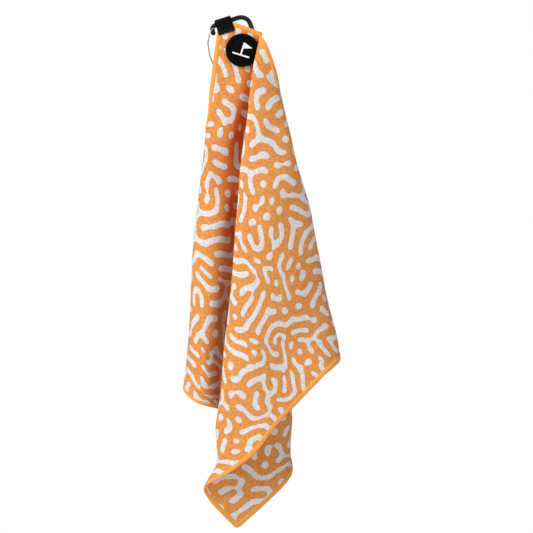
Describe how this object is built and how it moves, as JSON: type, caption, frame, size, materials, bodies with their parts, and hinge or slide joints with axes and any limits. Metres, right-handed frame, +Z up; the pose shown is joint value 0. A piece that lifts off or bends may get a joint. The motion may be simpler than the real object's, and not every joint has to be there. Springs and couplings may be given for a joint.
{
  "type": "magnetic golf towel",
  "caption": "Square quick-dry microfibre towel hanging in folds from one corner, with a round magnet button and a wire-gate carabiner in a webbing loop",
  "frame": {"origin": "centre of the magnet button's rear face, by which the towel is held", "axes": "+Z up along the hanging towel, +Y out of the magnet's face (away from the front), +X to the right seen from the front"},
  "size_m": [0.1899, 0.118, 0.6177],
  "materials": {
    "cloth": "matte",
    "binding": "matte",
    "webbing": "matte",
    "thread": "satin",
    "cap": "matte",
    "emblem": "matte",
    "magnet": "satin",
    "steel": "satin",
    "spacer": "matte",
    "rivet": "satin",
    "carabiner": "satin",
    "wire": "polished"
  },
  "bodies": {
    "towel": {"towel_cloth": "cloth", "hem_binding": "binding", "strap_loop": "webbing", "strap_stitching": "thread", "button_front_cap": "cap", "button_emblem": "emblem", "button_back_cap": "cap", "magnet": "magnet", "magnet_cup": "steel", "spacer_washer": "spacer", "front_plate": "steel", "rivet": "rivet"},
    "carabiner": {"carabiner_body": "carabiner"},
    "gate": {"gate_wire": "wire"}
  },
  "joints": [
    {"name": "carabiner_swing", "type": "hinge", "parent": "towel", "child": "carabiner", "pos_m": [-0.0226, -0.0047, 0.0337], "axis": [0.9511, 0, 0.309], "range_deg": [0, 160]},
    {"name": "gate_hinge", "type": "hinge", "parent": "carabiner", "child": "gate", "pos_m": [-0.03441, -0.0047, 0.02734], "axis": [0, -1, 0], "range_deg": [0, 15], "stiffness_Nm_per_rad": 0.02, "springref_deg": -5.73}
  ]
}
